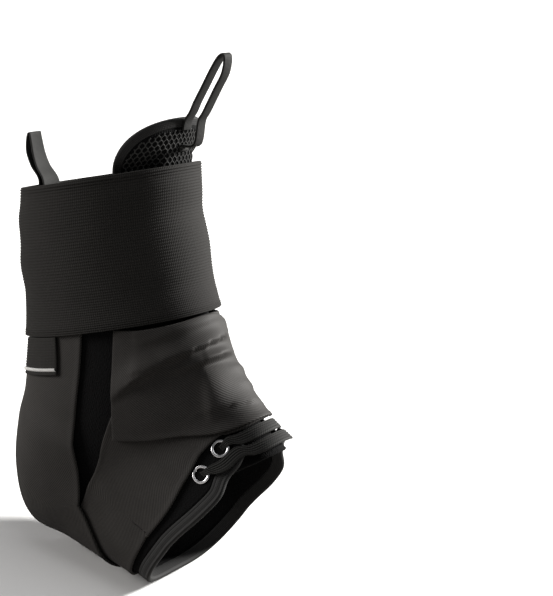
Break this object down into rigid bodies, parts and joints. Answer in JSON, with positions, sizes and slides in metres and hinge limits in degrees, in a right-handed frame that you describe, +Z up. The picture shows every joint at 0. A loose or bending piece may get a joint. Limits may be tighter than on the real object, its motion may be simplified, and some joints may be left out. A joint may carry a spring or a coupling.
{
  "type": "ankle brace",
  "caption": "Laced ankle support with an open heel and toes, two figure-of-eight straps, a wide elastic cuff, a mesh tongue and pull loops.",
  "frame": {"origin": "on the inside of the sole below the ankle, where the foot sits", "axes": "+Z up along the standing foot's height, toes to -Y, outer side of the right foot to -X"},
  "size_m": [0.0876, 0.1758, 0.2653],
  "materials": {
    "knit": "black loop-pile knit",
    "tape": "black woven edge tape",
    "mesh": "black spacer mesh with hexagonal holes",
    "webbing": "black woven ribbon",
    "nylon": "black nylon strap, fine diagonal twill",
    "elastic": "black ribbed elastic",
    "lace": "black flat woven lace",
    "metal": "bright nickel-plated ring"
  },
  "bodies": {
    "root": {"boot": "knit", "boot_binding": "tape", "tongue": "mesh", "tongue_binding": "tape", "tongue_loop": "webbing", "strap_inner": "nylon", "strap_outer": "nylon", "cuff": "elastic", "back_loop": "webbing", "back_tab": "elastic", "lace_lower": "lace", "lace_upper": "lace", "eyelet_outer_low": "metal", "eyelet_outer_high": "metal", "eyelet_inner_low": "metal", "eyelet_inner_high": "metal"}
  },
  "joints": []
}
